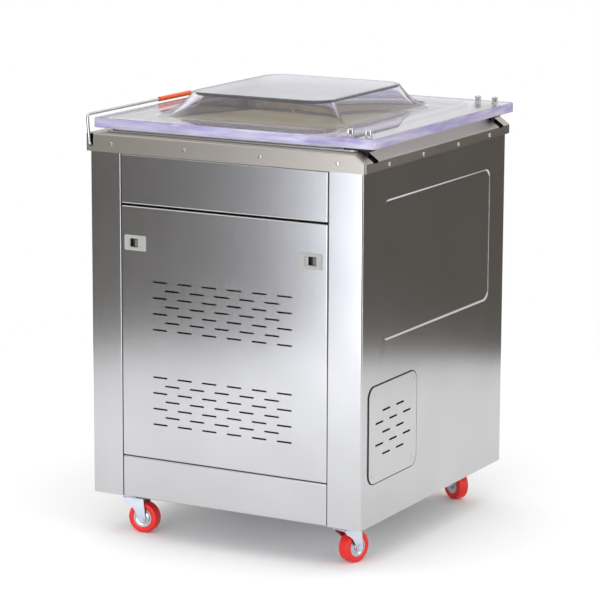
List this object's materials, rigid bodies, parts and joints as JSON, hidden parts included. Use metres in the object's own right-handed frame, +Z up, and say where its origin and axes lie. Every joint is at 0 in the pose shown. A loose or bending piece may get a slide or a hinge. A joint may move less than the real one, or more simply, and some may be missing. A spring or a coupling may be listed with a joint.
{
  "type": "vacuum packing machine",
  "caption": "Floor-standing chamber vacuum packing machine: steel cabinet on swivel castors, clear domed lid, wire bail and lift-off service door.",
  "frame": {"origin": "on the floor under the middle of the machine's outline", "axes": "+Z up; +X towards the lid hinge side, -X towards the operator; -Y towards the side with the service door"},
  "size_m": [0.65, 0.668, 0.899],
  "materials": {
    "steel_sheet": "vertically brushed stainless sheet, soft reflections",
    "top_steel": "brushed stainless, warm grey",
    "chamber_steel": "polished stainless",
    "clear_acrylic": "clear cast acrylic with violet-tinted edges",
    "lid_edge_silicone": "pale grey silicone",
    "hinge_black": "black paint, satin",
    "turned_steel": "bright drawn or turned stainless",
    "cast_bearing": "cast, dark",
    "orange_grip": "orange plastic tube",
    "latch_grey": "pale grey moulded plastic",
    "seal_bar_phenolic": "khaki heat-resistant board",
    "board_plastic": "khaki filler board",
    "pump_enamel": "blue-grey enamel on an aluminium housing",
    "hose_rubber": "black rubber hose",
    "valve_white": "white moulded body",
    "transformer_iron": "laminated iron, varnished",
    "control_black": "black satin",
    "gauge_white": "white dial in a bright ring",
    "stop_red": "red moulded plastic",
    "castor_zinc": "blue-white zinc plating",
    "hub_aluminium": "machined ring",
    "tyre_red": "red polyurethane tread"
  },
  "bodies": {
    "cabinet": {"hinge_side_panel": "steel_sheet", "operator_side_panel": "steel_sheet", "front_apron": "steel_sheet", "kick_panel": "steel_sheet", "far_panel": "steel_sheet", "vent_plate": "steel_sheet", "base_frame": "steel_sheet", "top_rim": "top_steel", "chamber_pan": "chamber_steel", "lid_gasket": "lid_edge_silicone", "lid_spring_near": "turned_steel", "lid_spring_far": "turned_steel", "hinge_bearing_near": "cast_bearing", "hinge_bearing_far": "cast_bearing", "filler_board": "board_plastic", "vacuum_pump": "pump_enamel", "pump_motor": "pump_enamel", "suction_hose": "hose_rubber", "solenoid_valve": "valve_white", "transformer": "transformer_iron", "control_plate": "control_black", "mains_inlet": "control_black", "vacuum_gauge": "gauge_white", "castor_plate_near_operator": "castor_zinc", "castor_plate_near_hinge": "castor_zinc", "castor_plate_far_hinge": "castor_zinc", "castor_plate_far_operator": "castor_zinc"},
    "lid": {"lid_dome": "clear_acrylic", "hinge_arm_near": "hinge_black", "hinge_arm_far": "hinge_black", "hinge_shaft": "turned_steel", "lid_screw_near_inner": "turned_steel", "lid_screw_near_outer": "turned_steel", "lid_screw_far_inner": "turned_steel", "lid_screw_far_outer": "turned_steel", "counter_bar_near": "lid_edge_silicone", "counter_bar_far": "lid_edge_silicone"},
    "bail": {"bail_wire": "turned_steel", "bail_grip": "orange_grip"},
    "door": {"service_door": "steel_sheet", "latch_bezel_left": "latch_grey", "latch_bezel_right": "latch_grey"},
    "latch_slide_left": {"latch_slide_left": "latch_grey"},
    "latch_slide_right": {"latch_slide_right": "latch_grey"},
    "seal_bar_near": {"seal_bar_near": "seal_bar_phenolic"},
    "seal_bar_far": {"seal_bar_far": "seal_bar_phenolic"},
    "gauge_needle": {"gauge_needle": "control_black"},
    "stop_button": {"stop_button": "stop_red"},
    "fork_near_operator": {"castor_fork_near_operator": "castor_zinc"},
    "wheel_near_operator": {"castor_hub_near_operator": "hub_aluminium", "castor_tyre_near_operator": "tyre_red"},
    "fork_near_hinge": {"castor_fork_near_hinge": "castor_zinc"},
    "wheel_near_hinge": {"castor_hub_near_hinge": "hub_aluminium", "castor_tyre_near_hinge": "tyre_red"},
    "fork_far_hinge": {"castor_fork_far_hinge": "castor_zinc"},
    "wheel_far_hinge": {"castor_hub_far_hinge": "hub_aluminium", "castor_tyre_far_hinge": "tyre_red"},
    "fork_far_operator": {"castor_fork_far_operator": "castor_zinc"},
    "wheel_far_operator": {"castor_hub_far_operator": "hub_aluminium", "castor_tyre_far_operator": "tyre_red"}
  },
  "joints": [
    {"name": "lid_hinge", "type": "hinge", "parent": "cabinet", "child": "lid", "pos_m": [0.29, 0, 0.792], "axis": [0, 1, 0], "range_deg": [0, 45], "deforming": ["lid_spring_near", "lid_spring_far"]},
    {"name": "bail_swing", "type": "hinge", "parent": "cabinet", "child": "bail", "pos_m": [-0.301, 0, 0.802], "axis": [0, -1, 0], "range_deg": [0, 115]},
    {"name": "door_tilt", "type": "hinge", "parent": "cabinet", "child": "door", "pos_m": [0, -0.321, 0.173], "axis": [1, 0, 0], "range_deg": [0, 40]},
    {"name": "latch_left_release", "type": "slide", "parent": "door", "child": "latch_slide_left", "axis": [1, 0, 0], "range_m": [0, 0.006], "stiffness_N_per_m": 150, "springref_m": -0.002},
    {"name": "latch_right_release", "type": "slide", "parent": "door", "child": "latch_slide_right", "axis": [-1, 0, 0], "range_m": [0, 0.006], "stiffness_N_per_m": 150, "springref_m": -0.002},
    {"name": "seal_bar_near_lift", "type": "slide", "parent": "cabinet", "child": "seal_bar_near", "axis": [0, 0, 1], "range_m": [0, 0.0075]},
    {"name": "seal_bar_far_lift", "type": "slide", "parent": "cabinet", "child": "seal_bar_far", "axis": [0, 0, 1], "range_m": [0, 0.0075]},
    {"name": "gauge_swing", "type": "hinge", "parent": "cabinet", "child": "gauge_needle", "pos_m": [-0.3158, 0.105, 0.687], "axis": [-1, 0, 0], "range_deg": [0, 270]},
    {"name": "stop_press", "type": "slide", "parent": "cabinet", "child": "stop_button", "axis": [1, 0, 0], "range_m": [0, 0.005], "stiffness_N_per_m": 400, "springref_m": -0.001},
    {"name": "near_operator_swivel", "type": "hinge", "parent": "cabinet", "child": "fork_near_operator", "pos_m": [-0.244, -0.268, 0.08], "axis": [0, 0, 1], "continuous": true},
    {"name": "near_operator_roll", "type": "hinge", "parent": "fork_near_operator", "child": "wheel_near_operator", "pos_m": [-0.21914, -0.26538, 0.03175], "axis": [-0.1048, 0.9945, 0], "continuous": true},
    {"name": "near_hinge_swivel", "type": "hinge", "parent": "cabinet", "child": "fork_near_hinge", "pos_m": [0.244, -0.268, 0.08], "axis": [0, 0, 1], "continuous": true},
    {"name": "near_hinge_roll", "type": "hinge", "parent": "fork_near_hinge", "child": "wheel_near_hinge", "pos_m": [0.25143, -0.24413, 0.03175], "axis": [-0.9548, 0.2972, 0], "continuous": true},
    {"name": "far_hinge_swivel", "type": "hinge", "parent": "cabinet", "child": "fork_far_hinge", "pos_m": [0.244, 0.268, 0.08], "axis": [0, 0, 1], "continuous": true},
    {"name": "far_hinge_roll", "type": "hinge", "parent": "fork_far_hinge", "child": "wheel_far_hinge", "pos_m": [0.22258, 0.28089, 0.03175], "axis": [-0.5155, -0.8569, 0], "continuous": true},
    {"name": "far_operator_swivel", "type": "hinge", "parent": "cabinet", "child": "fork_far_operator", "pos_m": [-0.244, 0.268, 0.08], "axis": [0, 0, 1], "continuous": true},
    {"name": "far_operator_roll", "type": "hinge", "parent": "fork_far_operator", "child": "wheel_far_operator", "pos_m": [-0.23156, 0.24631, 0.03175], "axis": [0.8674, 0.4976, 0], "continuous": true}
  ],
  "couplings": [
    {"joint": "seal_bar_far_lift", "follows": "seal_bar_near_lift", "ratio": 1}
  ]
}
